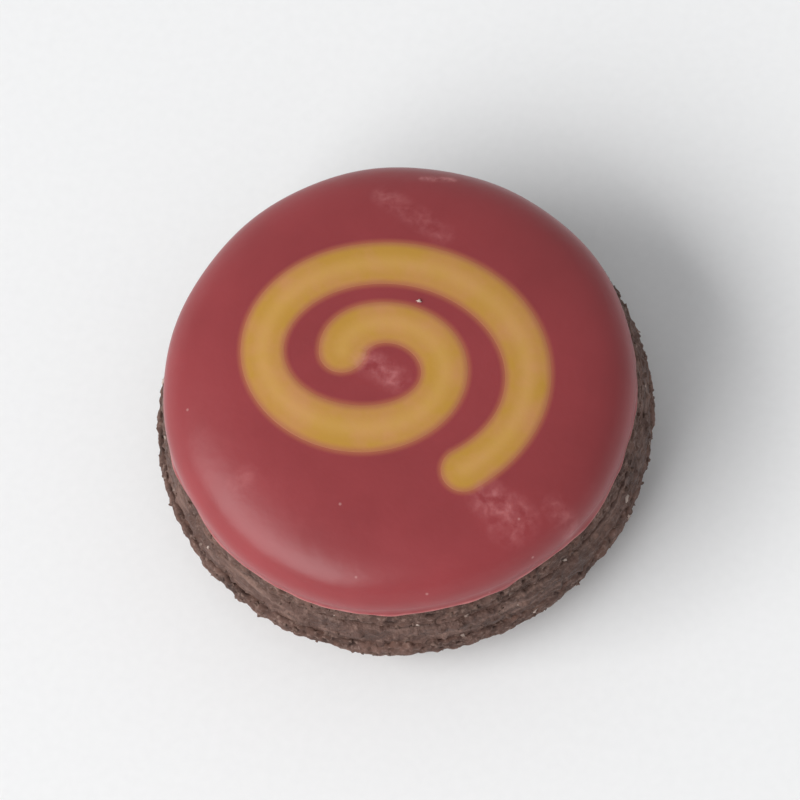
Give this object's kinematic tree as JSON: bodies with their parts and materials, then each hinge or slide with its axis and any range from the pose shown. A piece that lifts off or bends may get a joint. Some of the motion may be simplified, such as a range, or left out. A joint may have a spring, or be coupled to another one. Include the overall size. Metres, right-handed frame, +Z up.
{
  "type": "macaron",
  "caption": "Round chocolate macaron with craggy baked feet, a dark filling, a smooth red chocolate coat on top and a yellow spiral piped flush into it.",
  "frame": {"origin": "under the middle of the macaron, at the level it rests on", "axes": "+Z up through the layers, +X along the longer way of the piped spiral, +Y across it"},
  "size_m": [0.0544, 0.0546, 0.022],
  "materials": {
    "biscuit": "chocolate almond biscuit, matt, craggy and crumbly at its foot",
    "ganache": "dark chocolate ganache, soft satin, smeared",
    "red_chocolate": "set red coloured chocolate, satin gloss with faint bloom",
    "yellow_chocolate": "set yellow coloured chocolate, flush with the coat, satin"
  },
  "bodies": {
    "root": {"lower_biscuit": "biscuit", "filling": "ganache", "upper_biscuit": "biscuit", "red_coat": "red_chocolate", "piped_spiral": "yellow_chocolate"}
  },
  "joints": []
}
